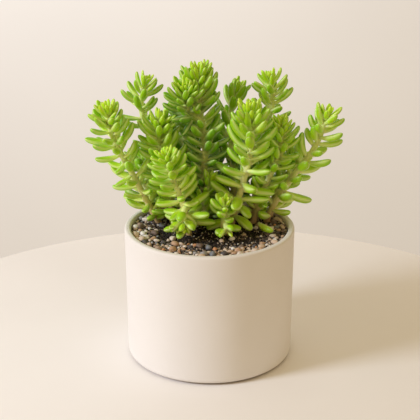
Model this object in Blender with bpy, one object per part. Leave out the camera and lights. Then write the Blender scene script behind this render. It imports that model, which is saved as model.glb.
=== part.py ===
"""Potted sedum: a ceramic pot, growing mix, a gravel top dressing and the leafy stems.

Metres, +Z up. The origin is the middle of the pot's flat base, +X is right and -Y is the front.
"""

import math
import random

import bmesh
import bpy
from mathutils import Vector

MM = 0.001
CLEARANCE = 0.3 * MM  # between two pieces that touch
ROUND_SIDES = 48  # sides of the pot, the mix and the gravel

# The pot: a plain turned cylinder on a low foot set back under it, with softly rounded edges
POT_HEIGHT = 88.2 * MM
POT_RIM_RADIUS = 55.0 * MM
POT_FOOT_RADIUS = 54.3 * MM
POT_WALL = 4.2 * MM
POT_FLOOR = 6.0 * MM
FOOT_ROUNDING = 3.2 * MM
FOOT_LIFT = 1.0 * MM  # the rounded edge ends this far over the table, on a foot set back
FOOT_RING_RADIUS = 45.5 * MM
LIP_ROUNDING = 1.6 * MM

# The growing mix and the gravel on it
INSIDE_RADIUS = POT_RIM_RADIUS - POT_WALL
MIX_LEVEL = 84.9 * MM
MIX_MOUND = 1.2 * MM  # how far the bare mix stands over the mix below the gravel
MIX_LUMPS = 0.7 * MM
MIX_STEP = 1.0 * MM  # from the gravel's edge to the foot of the mound
GRAVEL_BED_DEPTH = 1.4 * MM
GRAVEL_INNER_RADIUS = 30.5 * MM
GRAVEL_EDGE_WAVE = 4.0 * MM
GRAVEL_ROWS = 5  # rows of pebbles from the pot's wall inward
GRAVEL_STONES_ROUND = 72  # pebbles and hollows in a row
PEBBLE_RISE = (0.4 * MM, 1.5 * MM)  # of a pebble's top over the bed
GRAVEL_TOP = MIX_LEVEL + 3.2 * MM  # nothing of the gravel rises above this
MIX_TOP = MIX_LEVEL + 2.0 * MM  # nor anything of the bare mix above this
BARE_MIX_RADIUS = 24.0 * MM  # the gravel keeps outside this

# The leafy stems
STEM_FOOT = 12.0 * MM  # how deep a stem stands in the mix
STEM_SIDES = 5
HOLE_SIDES = 6
MIX_HOLE_GAP = 0.5 * MM  # round a stem in the mix
GRAVEL_HOLE_GAP = 0.8 * MM  # and in the gravel
HOLE_BELOW = 2.0 * MM  # how far a hole runs on past the stem's end
HOLE_ABOVE = 8.0 * MM  # and its cutter over the place where the stem enters
LEAF_TOP = 0.48  # a leaf's flat top over its middle line, as a part of half its width
LEAF_KEEL = 0.95  # its keel under that line
YOUNG_LEAF_MARKS = (0.0, 0.62, 1.0)  # where a leaf's rings stand, as parts of its length
FULL_LEAF_MARKS = (0.0, 0.42, 0.78, 1.0)
FULL_LEAF_AGE = 0.9
LEAF_WIDEST = 0.60  # of its length from the root
LEAF_NECK = 0.50  # its width at the root, as a part of its greatest
GOLDEN_TURN = math.radians(137.5)
LEAF_GAP = 0.4 * MM  # air between the leaves of two stems
OUTER_REACH = 52.0 * MM  # every leaf that reaches further out than this is kept

# The fallen leaf, which lies on its side on the gravel at the front right
FALLEN_ROOT = (32.0 * MM, -0.5 * MM)
FALLEN_HEADING = math.radians(-60)
FALLEN_CURL = math.radians(50)
FALLEN_LENGTH = 17.5 * MM
FALLEN_HALF_WIDTH = 2.4 * MM
FALLEN_SIDES = 8
FALLEN_MARKS = (0.0, 0.1, 0.25, 0.42, 0.6, 0.78, 0.92, 1.0)
FALLEN_REST = MIX_LEVEL + 2.6 * MM  # the pebbles under it end here, level

# Each stem's route from the soil to its growing tip, in millimetres, with the length of a
# full leaf, how plump it is, the rise from one leaf to the next, the number of leaves crowded
# in the head, the turn of the first leaf, how far full leaves open, the seed of the stem's
# chances and how far its lowest leaves droop. Turn, opening and droop are in degrees.
STEMS = {
    "stem_front_left": dict(
        route=[(-13, -13, 84), (-14.5, -13.5, 98), (-18, -15, 111), (-22.5, -17.5, 126), (-27, -20, 140)],
        branch=dict(
            route=[(-14, -15, 106), (-16, -20, 105), (-16, -25, 97)],
            leaf=11, plump=1.6, rise=3.6, head=7, turn=60, seed=1, droop=20,
        ),
        leaf=15.5, plump=0.94, rise=1.6, head=30, turn=215, open=64, seed=0, droop=65,
    ),
    "stem_right": dict(
        route=[(14, 4, 84), (16, 0, 98), (21, -2, 116), (26, -5, 142), (25, -8, 165)],
        leaf=19, plump=0.87, rise=1.95, head=36, turn=10, open=52, seed=2, droop=70,
    ),
    "stem_low_front": dict(
        route=[(9, -12, 84), (9, -14, 97), (10, -18, 109)],
        branch=dict(
            route=[(9, -14, 98), (10, -19, 97), (11, -23, 92)],
            leaf=9.5, plump=1.45, rise=6, head=2, turn=20, seed=21, droop=20,
        ),
        leaf=12.5, plump=1.3, rise=2.6, head=13, turn=30, open=64, seed=3, droop=55,
    ),
    "stem_far_left": dict(
        route=[(-33, 13, 84), (-42, 7, 105), (-52, 2, 128), (-60, -4, 147), (-63, -8, 165)],
        leaf=17.5, plump=0.92, rise=2.1, head=28, turn=100, open=64, seed=4, droop=10,
    ),
    "stem_far_right": dict(
        route=[(37, 14, 84), (43, 11, 100), (55, 9, 120), (67, 6, 139), (74, 5, 159)],
        leaf=17, plump=1.05, rise=3.0, head=14, turn=270, open=62, seed=6, droop=20,
    ),
    "stem_left": dict(
        route=[(-24, 11, 84), (-26, 8, 108), (-28, 5, 127), (-32, 3, 146), (-31, 2, 157)],
        leaf=17, plump=0.87, rise=1.6, head=32, turn=250, open=60, seed=7, droop=25,
    ),
    "stem_centre": dict(
        route=[(-3, 17, 84), (-4, 14, 110), (-3, 13, 136), (-6, 11, 163), (-7, 10, 184)],
        branch=dict(route=[(-5, 11, 155), (-14, 7, 163), (-15, 2, 176)], seed=9),
        leaf=18.5, plump=0.78, rise=1.25, head=36, turn=90, open=56, seed=8, droop=20,
    ),
    "stem_right_inner": dict(
        route=[(28, 11, 84), (34, 8, 106), (42, 7, 127), (46, 5, 138), (45, 5, 153)],
        leaf=15.5, plump=0.88, rise=1.6, head=33, turn=225, open=58, seed=10, droop=5,
    ),
    "stem_left_back": dict(
        route=[(-27, 22, 84), (-30, 20, 106), (-38, 20, 140), (-44, 21, 161), (-41, 22, 176)],
        leaf=15.5, plump=0.88, rise=2.5, head=17, turn=105, open=60, seed=11, droop=5,
    ),
    "stem_right_back": dict(
        route=[(26, 20, 84), (32, 19, 112), (34, 20, 142), (40, 21, 161), (39, 22, 178)],
        leaf=16.5, plump=0.9, rise=2.4, head=17, turn=350, open=60, seed=12, droop=5,
    ),
    "stem_low_right": dict(
        route=[(40, 23, 84), (43, 23, 99), (50, 22, 113), (58, 21, 126)],
        leaf=15, plump=1.1, rise=2.3, head=18, turn=135, open=66, seed=13, droop=5,
    ),
    "stem_back": dict(
        route=[(14, 23, 84), (16, 24, 110), (14, 28, 134), (14, 31, 156), (18, 32, 168)],
        leaf=15.5, plump=0.92, rise=3.0, head=10, turn=285, open=42, seed=14, droop=5,
    ),
    "stem_low_centre": dict(
        route=[(-1, 6, 84), (-4, 6, 101), (1, 5, 117)],
        leaf=13.5, plump=1.0, rise=2.4, head=17, turn=10, open=58, seed=15, droop=5,
    ),
    "stem_rear_left": dict(
        route=[(-31, 31, 84), (-40, 33, 99), (-46, 38, 121)],
        leaf=17.5, plump=1.3, rise=2.5, head=18, turn=80, open=62, seed=16, droop=5,
    ),
    "stem_rear_mid_left": dict(
        route=[(-14, 31, 84), (-15, 35, 118), (-18, 42, 149)],
        leaf=17.5, plump=1.3, rise=2.5, head=18, turn=35, open=62, seed=17, droop=5,
    ),
    "stem_rear_centre": dict(
        route=[(1, 34, 84), (0, 41, 111), (1, 49, 137)],
        leaf=17.5, plump=1.3, rise=2.5, head=18, turn=245, open=62, seed=18, droop=5,
    ),
    "stem_rear_mid_right": dict(
        route=[(16, 35, 84), (17, 40, 104), (20, 48, 125)],
        leaf=17.5, plump=1.3, rise=2.5, head=18, turn=195, open=62, seed=19, droop=5,
    ),
    "stem_rear_right": dict(
        route=[(31, 30, 84), (37, 35, 115), (45, 42, 138)],
        leaf=17.5, plump=1.3, rise=2.5, head=18, turn=300, open=62, seed=20, droop=5,
    ),
}


def clear_scene():
    for thing in list(bpy.data.objects):
        bpy.data.objects.remove(thing, do_unlink=True)


def material(name, colour, roughness, metallic=0.0):
    made = bpy.data.materials.new(name)
    made.use_nodes = True
    shader = made.node_tree.nodes["Principled BSDF"]
    shader.inputs["Base Color"].default_value = (*colour, 1.0)
    shader.inputs["Roughness"].default_value = roughness
    shader.inputs["Metallic"].default_value = metallic
    return made


def add_object(name, mesh, finish=None):
    thing = bpy.data.objects.new(name, mesh)
    bpy.context.collection.objects.link(thing)
    if finish:
        mesh.materials.append(finish)
    return thing


def mesh_from(name, points, faces):
    """A closed mesh from points and faces, with its faces turned outward."""
    shape = bmesh.new()
    corners = [shape.verts.new(point) for point in points]
    for face in faces:
        shape.faces.new([corners[index] for index in face])
    bmesh.ops.recalc_face_normals(shape, faces=shape.faces)
    mesh = bpy.data.meshes.new(name)
    shape.to_mesh(mesh)
    shape.free()
    return mesh


def skin(rings):
    """Points and faces of a closed tube through rings of points. A ring of one point is a tip."""
    points, faces, starts = [], [], []
    for ring in rings:
        starts.append(len(points))
        points.extend(ring)
    for ring, following, start, after in zip(rings, rings[1:], starts, starts[1:]):
        sides = max(len(ring), len(following))
        for side in range(sides):
            beside = (side + 1) % sides
            if len(ring) == 1:
                faces.append((start, after + side, after + beside))
            elif len(following) == 1:
                faces.append((start + beside, start + side, after))
            else:
                faces.append((start + side, after + side, after + beside, start + beside))
    for ring, start in ((rings[0], starts[0]), (rings[-1], starts[-1])):
        if len(ring) > 1:
            faces.append(tuple(range(start, start + len(ring))))
    return points, faces


def join_in_code(thing, loose, operation, solver):
    """Joins or cuts an object with loose solids by one Boolean, which is applied."""
    group = bpy.data.collections.new(thing.name + "_repeats")
    bpy.context.scene.collection.children.link(group)
    for number, (points, faces) in enumerate(loose):
        piece = bpy.data.objects.new(f"repeat_{number}", mesh_from("repeat", points, faces))
        group.objects.link(piece)
    union = thing.modifiers.new("repeats", "BOOLEAN")
    union.operation = operation
    union.solver = solver
    union.operand_type = "COLLECTION"
    union.collection = group
    seen = thing.evaluated_get(bpy.context.evaluated_depsgraph_get())
    joined = bpy.data.meshes.new_from_object(seen)
    thing.modifiers.clear()
    thing.data = joined
    for piece in list(group.objects):
        bpy.data.objects.remove(piece, do_unlink=True)
    bpy.data.collections.remove(group)


def around(radius, height, sides=ROUND_SIDES):
    """A level ring of points."""
    turns = [2 * math.pi * side / sides for side in range(sides)]
    return [Vector((radius * math.cos(turn), radius * math.sin(turn), height)) for turn in turns]


def make_pot():
    """The turned pot: outside from the foot up, over the lip and down to the inside floor."""
    profile = [(FOOT_RING_RADIUS, 0.0), (FOOT_RING_RADIUS, FOOT_LIFT)]
    for step in range(4):
        turn = math.radians(30 * step)
        profile.append((
            POT_FOOT_RADIUS - FOOT_ROUNDING + FOOT_ROUNDING * math.sin(turn),
            FOOT_LIFT + FOOT_ROUNDING - FOOT_ROUNDING * math.cos(turn),
        ))
    for step in range(3):
        turn = math.radians(45 * step)
        profile.append((
            POT_RIM_RADIUS - LIP_ROUNDING + LIP_ROUNDING * math.cos(turn),
            POT_HEIGHT - LIP_ROUNDING + LIP_ROUNDING * math.sin(turn),
        ))
    for step in range(3):
        turn = math.radians(90 - 45 * step)
        profile.append((
            INSIDE_RADIUS + LIP_ROUNDING - LIP_ROUNDING * math.cos(turn),
            POT_HEIGHT - LIP_ROUNDING + LIP_ROUNDING * math.sin(turn),
        ))
    profile.append((INSIDE_RADIUS, POT_FLOOR))
    points, faces = skin([around(radius, height) for radius, height in profile])
    finish = material("matte ceramic", (0.80, 0.76, 0.70), 0.55)
    pot = add_object("pot", mesh_from("pot", points, faces), finish)
    pot.data.shade_smooth()
    pot.data.set_sharp_from_angle(angle=math.radians(40))
    return pot


def gravel_edge(turn):
    """The radius where the gravel begins, which wanders as it goes round."""
    return GRAVEL_INNER_RADIUS + GRAVEL_EDGE_WAVE * (math.sin(3 * turn + 3.9) + 0.5 * math.sin(7 * turn))


def mix_lumps(x, y):
    """The lumpy rise of the growing mix at a place, between -1 and 1."""
    crossed = math.sin(x / (3.1 * MM) + 1) * math.sin(y / (2.7 * MM))
    return 0.6 * crossed + 0.4 * math.sin((x + 2 * y) / (4.3 * MM))


def foot_of(stem):
    """Where a stem enters the mix, and the straight direction of its foot."""
    entry, above = (Vector(point) * MM for point in stem["route"][:2])
    return entry, (above - entry).normalized()


def foot_cutters(widening):
    """A plain hole for each stem, along its foot."""
    cutters = []
    for stem in STEMS.values():
        entry, direction = foot_of(stem)
        radius = stem_radius(1.0) + widening
        ends = entry - direction * (STEM_FOOT + HOLE_BELOW), entry + direction * HOLE_ABOVE
        cutters.append(skin([ring_across(end, direction, radius, HOLE_SIDES) for end in ends]))
    return cutters


def ring_across(centre, direction, radius, sides):
    """A ring of points square to a direction."""
    level = Vector((1, 0, 0))
    side = (level - direction * level.dot(direction)).normalized()
    other = direction.cross(side)
    turns = [2 * math.pi * step / sides for step in range(sides)]
    return [centre + (side * math.cos(turn) + other * math.sin(turn)) * radius for turn in turns]


def make_mix():
    """The growing mix: it fills the pot, lies level under the gravel and rises in lumps inside it."""
    radius = INSIDE_RADIUS - CLEARANCE
    turns = [2 * math.pi * side / ROUND_SIDES for side in range(ROUND_SIDES)]
    rings = [around(radius, POT_FLOOR + CLEARANCE), around(radius, MIX_LEVEL)]
    for part in (1.0, 0.82, 0.62, 0.42, 0.20):
        ring = []
        for turn in turns:
            reach = (gravel_edge(turn) - MIX_STEP) * part
            x, y = reach * math.cos(turn), reach * math.sin(turn)
            rise = 0 if part == 1.0 else MIX_MOUND + MIX_LUMPS * mix_lumps(x, y)
            ring.append(Vector((x, y, MIX_LEVEL + rise)))
        rings.append(ring)
    points, faces = skin(rings)
    finish = material("growing mix", (0.035, 0.025, 0.018), 0.95)
    mix = add_object("soil", mesh_from("soil", points, faces), finish)
    join_in_code(mix, foot_cutters(MIX_HOLE_GAP), "DIFFERENCE", "MANIFOLD")
    return mix


def under_fallen_leaf(x, y):
    """Whether a place on the gravel is under the fallen leaf or close beside it."""
    along = Vector((math.cos(FALLEN_HEADING), math.sin(FALLEN_HEADING)))
    middle = Vector(FALLEN_ROOT) + along * FALLEN_LENGTH / 2
    return (Vector((x, y)) - middle).length < FALLEN_LENGTH * 0.7


def make_gravel():
    """A bed of pebbles that follows the pot's wall all round: a ring whose top is raised, stone by
    stone, into peaks of uneven height with hollows between them."""
    draw = random.Random(41)
    bottom = MIX_LEVEL + CLEARANCE
    outer = INSIDE_RADIUS - CLEARANCE
    turns = [2 * math.pi * side / GRAVEL_STONES_ROUND for side in range(GRAVEL_STONES_ROUND)]
    rows = [[Vector((outer * math.cos(t), outer * math.sin(t), bottom)) for t in turns]]
    for row in range(GRAVEL_ROWS + 1):
        ring = []
        for side, turn in enumerate(turns):
            edge = gravel_edge(turn)
            reach = outer + (edge - outer) * row / GRAVEL_ROWS
            shift = 0.0
            height = bottom + GRAVEL_BED_DEPTH
            if 0 < row < GRAVEL_ROWS:
                reach += draw.uniform(-0.8, 0.8) * MM
                shift = draw.uniform(-0.25, 0.25) * 2 * math.pi / GRAVEL_STONES_ROUND
                if (row + side) % 2:
                    height += draw.uniform(*PEBBLE_RISE)
                    if under_fallen_leaf(reach * math.cos(turn), reach * math.sin(turn)):
                        height = FALLEN_REST
            ring.append(Vector((reach * math.cos(turn + shift), reach * math.sin(turn + shift), height)))
        rows.append(ring)
    rows.append([Vector((p.x, p.y, bottom)) for p in rows[-1]])
    points, faces = skin(rows + rows[:1])
    count = GRAVEL_STONES_ROUND * len(rows)
    faces = [tuple(index % count for index in face) for face in faces[:count]]
    finish = material("gravel", (0.36, 0.25, 0.16), 0.8)
    gravel = add_object("gravel", mesh_from("gravel", points[:count], faces), finish)
    join_in_code(gravel, foot_cutters(GRAVEL_HOLE_GAP), "DIFFERENCE", "MANIFOLD")
    return gravel


def smooth_route(route):
    """Evenly close points along a smooth curve through a route's own points."""
    marks = [Vector(point) * MM for point in route]
    marks = [marks[0] * 2 - marks[1]] + marks + [marks[-1] * 2 - marks[-2]]
    line = []
    for before, start, end, after in zip(marks, marks[1:], marks[2:], marks[3:]):
        for step in range(12):
            t = step / 12
            line.append(0.5 * (
                2 * start + (end - before) * t + (2 * before - 5 * start + 4 * end - after) * t ** 2
                + (3 * start - before - 3 * end + after) * t ** 3
            ))
    return line + [marks[-2]]


def stem_radius(share_from_tip):
    """A stem's radius, from its tip (0) to the soil (1)."""
    return (1.7 + 0.4 * share_from_tip) * MM


class Axis:
    """A stem's axis, measured from its growing tip downward."""

    def __init__(self, route):
        self.line = smooth_route(route)[::-1]
        self.marks = [0.0]
        for above, below in zip(self.line, self.line[1:]):
            self.marks.append(self.marks[-1] + (below - above).length)
        self.length = self.marks[-1]

    def at(self, distance):
        """The point at a distance below the tip, and the direction of growth there."""
        index = 0
        while index < len(self.marks) - 2 and self.marks[index + 1] < distance:
            index += 1
        above, below = self.line[index], self.line[index + 1]
        share = (distance - self.marks[index]) / (self.marks[index + 1] - self.marks[index])
        low = self.line[min(index + 3, len(self.line) - 1)]
        high = self.line[max(index - 2, 0)]
        return above.lerp(below, share), (high - low).normalized()


def leaf_half_width(share):
    """Half the width of a leaf as a part of its greatest, from its root (0) to its tip (1)."""
    swell = 0.5 + 0.5 * math.sin(math.pi * (min(share / LEAF_WIDEST, 1) - 0.5))
    taper = max(0.0, 1 - max(0.0, (share - LEAF_WIDEST) / (1 - LEAF_WIDEST)) ** 2.6) ** 0.5
    return (LEAF_NECK + (1 - LEAF_NECK) * swell) * taper


def leaf_at(leaf, share):
    """A point of a leaf's middle line, which is an arc, and the way its upper face looks there."""
    start, curl = leaf["open"], leaf["curl"]
    end = start - curl * share
    forward = (math.sin(start) - math.sin(end)) / curl
    outward = (math.cos(end) - math.cos(start)) / curl
    point = leaf["root"] + (leaf["along"] * forward + leaf["out"] * outward) * leaf["length"]
    return point, leaf["along"] * math.sin(end) - leaf["out"] * math.cos(end)


def leaf_beads(leaf):
    """Balls along a leaf that hold all of it, for keeping leaves clear of each other."""
    marks = (0.2, 0.4, 0.6, 0.78, 0.94)
    return [(leaf_at(leaf, mark)[0], leaf["half"] * leaf_half_width(mark)) for mark in marks]


def fits(beads, own, taken):
    """Whether beads are clear of the ground, of the pot's lip and of what other stems take up."""
    for point, radius in beads:
        reach = math.hypot(point.x, point.y)
        floor = MIX_TOP if reach < BARE_MIX_RADIUS else GRAVEL_TOP
        if reach > INSIDE_RADIUS - 2 * MM:
            floor = POT_HEIGHT
        if point.z - radius < floor + LEAF_GAP and reach < POT_RIM_RADIUS + radius + LEAF_GAP:
            return False
        for owner, other, width in taken:
            if owner != own and (point - other).length < radius + width + LEAF_GAP:
                return False
    return True


def leaf_slots(axis, stem):
    """Each leaf's number, its age from 0 to 1 within the head, and its distance below the tip."""
    distance, index = 0.5 * MM, 0
    while distance < axis.length - 4 * MM:
        yield index, min(1.0, (index + 0.5) / stem["head"]), distance
        spread = min(1.0, index / (1.6 * stem["head"]))
        distance += stem["rise"] * MM * (0.10 + 0.90 * spread ** 1.7)
        index += 1


def plan_leaf(axis, stem, index, age, distance):
    """One leaf: where it grows, which way it turns, how far it opens, and its size."""
    draw = random.Random(1000 * stem["seed"] + index)
    root, along = axis.at(distance + 0.4 * stem["rise"] * MM * age * draw.uniform(-1, 1))
    level = (Vector((1, 0, 0)) - along * along.x).normalized()
    lowness = (distance / axis.length) ** 3
    fullness = stem["droop"] / 100 * distance / axis.length
    chance = [draw.uniform(-1, 1) * (1 + 1.6 * lowness) for _ in range(4)]
    turn = math.radians(stem["turn"]) + index * GOLDEN_TURN + 0.30 * chance[0]
    opening = 8 + stem["open"] * age ** 0.52 + 10 * chance[1] + min(8, max(0, index - stem["head"]) * 0.5)
    opening += stem["droop"] * lowness * 0.6
    length = stem["leaf"] * MM * (0.44 + 0.56 * age ** 0.7 + 0.4 * fullness) * (0.97 + 0.12 * chance[2])
    curl = 12 + 22 * age - stem["droop"] * 1.6 * lowness + 12 * chance[3]
    return dict(
        root=root, along=along, level=level, turn=turn, open=math.radians(opening),
        curl=math.radians(curl), length=length, age=age,
        half=((0.105 + 0.04 * age) * length + 0.2 * MM) * stem["plump"] * (1 + 0.3 * fullness),
    )


def left_to_the_render(plan, stem, index):
    """Whether a leaf is left out here: two in three of a head, and every other one of the inner ones."""
    if index < stem["head"] * 0.6:
        return index > 2 and index % 3 > 0
    leaf = turned(plan, 0, 0, 1)
    outward = leaf["root"] + leaf["out"] * leaf["length"]
    return index % 2 == 1 and math.hypot(outward.x, outward.y) < OUTER_REACH


def turned(leaf, turn, opening, scale):
    """The leaf turned round its stem, opened further and scaled."""
    other = dict(leaf)
    azimuth = leaf["turn"] + math.radians(turn)
    across = leaf["along"].cross(leaf["level"])
    other["out"] = leaf["level"] * math.cos(azimuth) + across * math.sin(azimuth)
    other["open"] = leaf["open"] + math.radians(opening)
    other["length"] = leaf["length"] * scale
    other["half"] = leaf["half"] * scale
    return other


# What is tried to keep a leaf clear: degrees round its stem, degrees of opening, and its scale
SHIFTS = [(0, 0, 1), (14, 0, 1), (-14, 0, 1), (0, 0, 0.85), (0, -12, 1), (0, 12, 1), (25, -10, 0.95),
          (-25, -10, 0.95), (0, -25, 0.9), (0, 0, 0.7), (30, -20, 0.8), (-30, -20, 0.8), (0, -35, 0.75),
          (0, 10, 0.6)]


def grow_stems():
    """All stems with their leaves, each leaf turned or trimmed until it is clear of other stems."""
    axes = []
    taken = [("fallen_leaf", point, radius) for point, radius in leaf_beads(fallen_leaf())]
    for name, stem in STEMS.items():
        axes.append((name, stem, Axis(stem["route"])))
        if "branch" in stem:
            branch = {**stem, **stem["branch"]}
            axes.append((name, branch, Axis(branch["route"])))
    for name, stem, axis in axes:
        distance = 0.0
        while distance < axis.length:
            taken.append((name, axis.at(distance)[0], stem_radius(distance / axis.length)))
            distance += 2.5 * MM
    grown = []
    for name, stem, axis in axes:
        leaves = []
        for index, age, distance in leaf_slots(axis, stem):
            plan = plan_leaf(axis, stem, index, age, distance)
            if left_to_the_render(plan, stem, index):
                continue
            for shift in SHIFTS:
                leaf = turned(plan, *shift)
                beads = leaf_beads(leaf)
                if fits(beads, name, taken):
                    leaves.append(leaf)
                    taken.extend((name, point, radius) for point, radius in beads)
                    break
        grown.append((name, axis, leaves))
    return grown


def fallen_leaf():
    """The fallen leaf, curved in plan, with its blade on edge."""
    along = Vector((math.cos(FALLEN_HEADING), math.sin(FALLEN_HEADING), 0))
    height = FALLEN_REST + CLEARANCE + FALLEN_HALF_WIDTH * 0.8
    return dict(
        root=Vector((*FALLEN_ROOT, height)), along=along, out=Vector((along.y, -along.x, 0)),
        open=FALLEN_CURL / 2, curl=FALLEN_CURL, length=FALLEN_LENGTH, half=FALLEN_HALF_WIDTH,
    )


def make_fallen_leaf():
    """The fallen leaf as a rounded solid whose lowest part is pressed to a flat spot it rests on."""
    leaf = fallen_leaf()
    rings = [[leaf["root"]]]
    for mark in FALLEN_MARKS[1:-1]:
        centre, up = leaf_at(leaf, mark)
        half = leaf["half"] * leaf_half_width(mark)
        ring = []
        for side in range(FALLEN_SIDES):
            turn = 2 * math.pi * side / FALLEN_SIDES
            point = centre + (Vector((0, 0, 1)) * math.cos(turn) + up * math.sin(turn) * LEAF_KEEL) * half
            point.z = max(point.z, FALLEN_REST + CLEARANCE)
            ring.append(point)
        rings.append(ring)
    rings.append([leaf_at(leaf, 1.0)[0]])
    green = material("fallen leaf", (0.22, 0.38, 0.035), 0.45)
    leaf_piece = add_object("fallen_leaf", mesh_from("fallen_leaf", *skin(rings)), green)
    leaf_piece.data.shade_smooth()
    return leaf_piece


def leaf_solid(leaf):
    """A thick finger-shaped leaf, flat on top with a keel below, its root inside the stem."""
    marks = YOUNG_LEAF_MARKS if leaf["age"] < FULL_LEAF_AGE else FULL_LEAF_MARKS
    across = leaf["along"].cross(leaf["out"])
    rings = [[leaf["root"]]]
    for mark in marks[1:-1]:
        centre, up = leaf_at(leaf, mark)
        half = leaf["half"] * leaf_half_width(mark)
        top = centre + up * half * LEAF_TOP
        rings.append([top + across * half, top - across * half, centre - up * half * LEAF_KEEL])
    rings.append([leaf_at(leaf, 1.0)[0]])
    return skin(rings)


def make_stems():
    bark = material("leaves and stems", (0.22, 0.38, 0.035), 0.45)
    pieces = {}
    for name, axis, leaves in grow_stems():
        rings = []
        steps = max(3, round(axis.length / (14 * MM)))
        for step in range(steps + 1):
            distance = axis.length * step / steps
            centre, along = axis.at(min(distance, axis.length - 0.01 * MM))
            rings.append(ring_across(centre, along, stem_radius(step / steps), STEM_SIDES))
        if name not in pieces:
            entry, direction = foot_of(STEMS[name])
            rings[-1] = ring_across(entry, direction, stem_radius(1.0), STEM_SIDES)
            rings.append(ring_across(entry - direction * STEM_FOOT, direction, stem_radius(1.0), STEM_SIDES))
            pieces[name] = (skin(rings), [])
        else:
            pieces[name][1].append(skin(rings))
        pieces[name][1].extend(leaf_solid(leaf) for leaf in leaves)
    for name, (trunk, others) in pieces.items():
        stem = add_object(name, mesh_from(name, *trunk), bark)
        join_in_code(stem, others, "UNION", "MANIFOLD")


clear_scene()
make_pot()
make_mix()
make_gravel()
make_fallen_leaf()
make_stems()
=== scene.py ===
"""Looks of the potted sedum: pot, growing mix, gravel, leafy stems and the fallen leaf.

Metres, +Z up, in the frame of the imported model.
"""

import math
import random

import bmesh
import bpy
import numpy as np
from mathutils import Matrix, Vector, noise


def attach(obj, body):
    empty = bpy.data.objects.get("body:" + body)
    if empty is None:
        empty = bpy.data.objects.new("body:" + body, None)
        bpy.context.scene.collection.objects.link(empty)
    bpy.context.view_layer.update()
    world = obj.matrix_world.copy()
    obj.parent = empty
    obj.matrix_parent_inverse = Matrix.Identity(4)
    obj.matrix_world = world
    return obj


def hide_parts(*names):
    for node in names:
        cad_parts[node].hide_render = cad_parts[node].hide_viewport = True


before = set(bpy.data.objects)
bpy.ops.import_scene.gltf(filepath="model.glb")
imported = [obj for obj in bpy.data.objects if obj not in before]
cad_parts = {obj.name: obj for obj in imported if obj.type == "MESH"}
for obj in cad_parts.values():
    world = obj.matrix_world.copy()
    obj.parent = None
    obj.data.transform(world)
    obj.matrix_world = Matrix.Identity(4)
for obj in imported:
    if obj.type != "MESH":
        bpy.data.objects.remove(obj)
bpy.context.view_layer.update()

# The pot. A plain turned cylinder with a matte cream-white glaze, slip cast and sponged smooth,
# so its edges are softly rounded. It stands on a low foot ring, set back under it, and its lowest
# millimetres are painted dark tan as painted shade where it meets the table.
MM = 0.001
POT_HEIGHT = 88.2 * MM
POT_RIM_RADIUS = 55.0 * MM
POT_FOOT_RADIUS = 54.3 * MM
POT_WALL = 4.2 * MM
POT_FLOOR = 6.0 * MM
FOOT_ROUNDING = 3.2 * MM
FOOT_LIFT = 1.0 * MM  # the rounded edge ends this far over the table, on a foot set back
FOOT_RING_RADIUS = 45.5 * MM
LIP_ROUNDING = 1.6 * MM
FOOT_RECESS = 0.4 * MM  # the middle of the underside stands this much off the table
FOOT_RING = 42.0 * MM  # and begins at this radius
INSIDE_RADIUS = POT_RIM_RADIUS - POT_WALL
POT_SIDES = 256
FOOT_SHADE_HEIGHTS = (1.1 * MM, 2.0 * MM)  # the heights over which the painted shade at the foot fades out
WARPING = 0.06 * MM  # how far firing pulled the walls out of round


def around(radius, height, sides):
    """A level ring of points."""
    turns = [2 * math.pi * side / sides for side in range(sides)]
    return [Vector((radius * math.cos(turn), radius * math.sin(turn), height)) for turn in turns]


def skin(rings):
    """Points and faces of a closed tube through rings of points. A ring of one point is a tip."""
    points, faces, starts = [], [], []
    for ring in rings:
        starts.append(len(points))
        points.extend(ring)
    for ring, following, start, after in zip(rings, rings[1:], starts, starts[1:]):
        sides = max(len(ring), len(following))
        for side in range(sides):
            beside = (side + 1) % sides
            if len(ring) == 1:
                faces.append((start, after + side, after + beside))
            elif len(following) == 1:
                faces.append((start + beside, start + side, after))
            else:
                faces.append((start + side, after + side, after + beside, start + beside))
    for ring, start in ((rings[0], starts[0]), (rings[-1], starts[-1])):
        if len(ring) > 1:
            faces.append(tuple(range(start, start + len(ring))))
    return points, faces


def piece_from(name, shells, finishes, marks=()):
    """One smooth piece from closed shells of points, faces, finish number and marks by name."""
    points, faces, worn = [], [], []
    columns = {mark: [] for mark in marks}
    for shell_points, shell_faces, finish, shell_marks in shells:
        start = len(points)
        points.extend(shell_points)
        faces.extend(tuple(index + start for index in face) for face in shell_faces)
        worn.extend([finish] * len(shell_faces))
        for mark in marks:
            value = shell_marks.get(mark, 0.0)
            columns[mark].extend(value if isinstance(value, list) else [value] * len(shell_points))
    mesh = bpy.data.meshes.new(name)
    mesh.from_pydata(points, [], faces)
    mesh.polygons.foreach_set("material_index", worn)
    for mark, column in columns.items():
        mesh.attributes.new(mark, "FLOAT", "POINT").data.foreach_set("value", column)
    shape = bmesh.new()
    shape.from_mesh(mesh)
    bmesh.ops.recalc_face_normals(shape, faces=shape.faces)
    shape.to_mesh(mesh)
    shape.free()
    mesh.shade_smooth()
    for finish in finishes:
        mesh.materials.append(finish)
    piece = bpy.data.objects.new(name, mesh)
    bpy.context.scene.collection.objects.link(piece)
    return piece


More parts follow.
